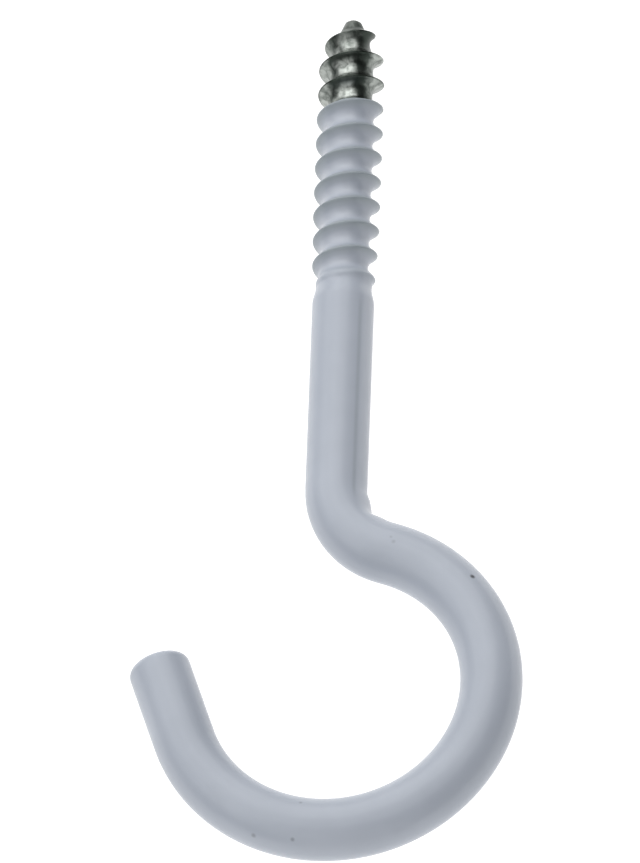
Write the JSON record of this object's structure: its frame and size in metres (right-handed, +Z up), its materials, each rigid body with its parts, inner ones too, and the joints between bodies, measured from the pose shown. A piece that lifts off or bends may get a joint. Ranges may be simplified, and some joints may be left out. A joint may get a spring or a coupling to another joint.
{
  "type": "screw hook",
  "caption": "Plastic-coated steel screw hook: an open round hook on a straight shank that ends in a wood-screw thread with a bare tip.",
  "frame": {"origin": "on the screw's axis, at the shoulder where the full shank begins", "axes": "+Y along the screw towards its tip, +Z up from the table that the hook lies on, and the wire's centreline in the XY plane"},
  "size_m": [0.034, 0.0814, 0.0058],
  "materials": {
    "coating": "smooth pale blue-grey plastic dip coat",
    "bare_steel": "zinc-plated steel, dull grey with brighter patches, on the bare thread at the tip"
  },
  "bodies": {
    "root": {"screw_hook": "coating"}
  },
  "joints": []
}
